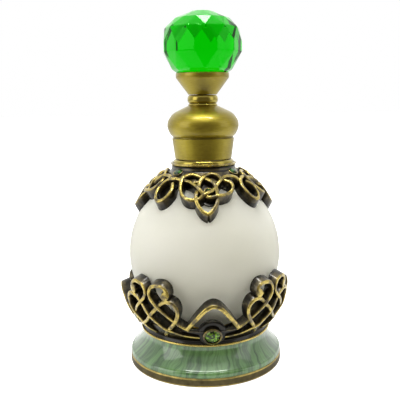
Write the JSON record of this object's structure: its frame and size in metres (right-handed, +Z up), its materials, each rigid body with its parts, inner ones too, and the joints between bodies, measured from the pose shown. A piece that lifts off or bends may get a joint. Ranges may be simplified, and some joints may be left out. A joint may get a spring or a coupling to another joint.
{
  "type": "perfume bottle",
  "caption": "Round glass perfume bottle in cast openwork on an enamelled foot, closed by a screw cap with a faceted knob and a glass dabber rod.",
  "frame": {"origin": "centre of the foot's underside, on the surface it stands on", "axes": "+Z up along the bottle's axis, -Y towards the front, where an arch stone and a knot face the viewer; +X to the right"},
  "size_m": [0.0552, 0.0552, 0.112],
  "materials": {
    "frosted_glass": "frosted, milky white",
    "satin_brass": "antique brass, fine horizontal brushing",
    "rim_brass": "dull antique brass",
    "polished_brass": "polished",
    "antique_bronze": "dark patina with rubbed gold faces",
    "mint_enamel": "glossy mint enamel with darker streaks",
    "peridot": "faceted light green stone",
    "dark_stone": "faceted dark green stone",
    "green_crystal": "faceted bright green crystal, polished",
    "clear_glass": "clear, polished",
    "white_plastic": "moulded plastic",
    "wad": "soft foam liner",
    "pad": "dark green felt",
    "steel": "turned steel"
  },
  "bodies": {
    "bottle": {"foot": "rim_brass", "enamel_ring": "mint_enamel", "base_pad": "pad", "glass_bottle": "frosted_glass", "lower_basket": "antique_bronze", "shoulder_collar": "antique_bronze", "neck_ring": "polished_brass", "arch_stone_front": "peridot", "arch_stone_right": "peridot", "arch_stone_back": "peridot", "arch_stone_left": "peridot", "knot_stone_front": "dark_stone", "knot_stone_right": "dark_stone", "knot_stone_back": "dark_stone", "knot_stone_left": "dark_stone", "leaf_stone_1": "dark_stone", "leaf_stone_2": "dark_stone", "leaf_stone_3": "dark_stone", "leaf_stone_4": "dark_stone"},
    "seal": {"seal_wad": "wad"},
    "dabber": {"dabber_holder": "white_plastic", "dabber_rod": "clear_glass"},
    "cap": {"cap_shell": "satin_brass", "threaded_insert": "white_plastic", "finial_bead": "polished_brass", "finial_stud": "steel", "finial_cup": "satin_brass", "crystal_knob": "green_crystal"}
  },
  "joints": [
    {"name": "cap_lift", "type": "slide", "parent": "bottle", "child": "seal", "axis": [0, 0, 1], "range_m": [0, 0.07]},
    {"name": "cap_rise", "type": "slide", "parent": "seal", "child": "dabber", "axis": [0, 0, 1], "range_m": [0, 0.00315]},
    {"name": "cap_unscrew", "type": "hinge", "parent": "dabber", "child": "cap", "pos_m": [0, 0, 0.078], "axis": [0, 0, 1], "range_deg": [0, 540]}
  ],
  "couplings": [
    {"joint": "cap_rise", "follows": "cap_unscrew", "m_per_rad": 0.00033423}
  ]
}
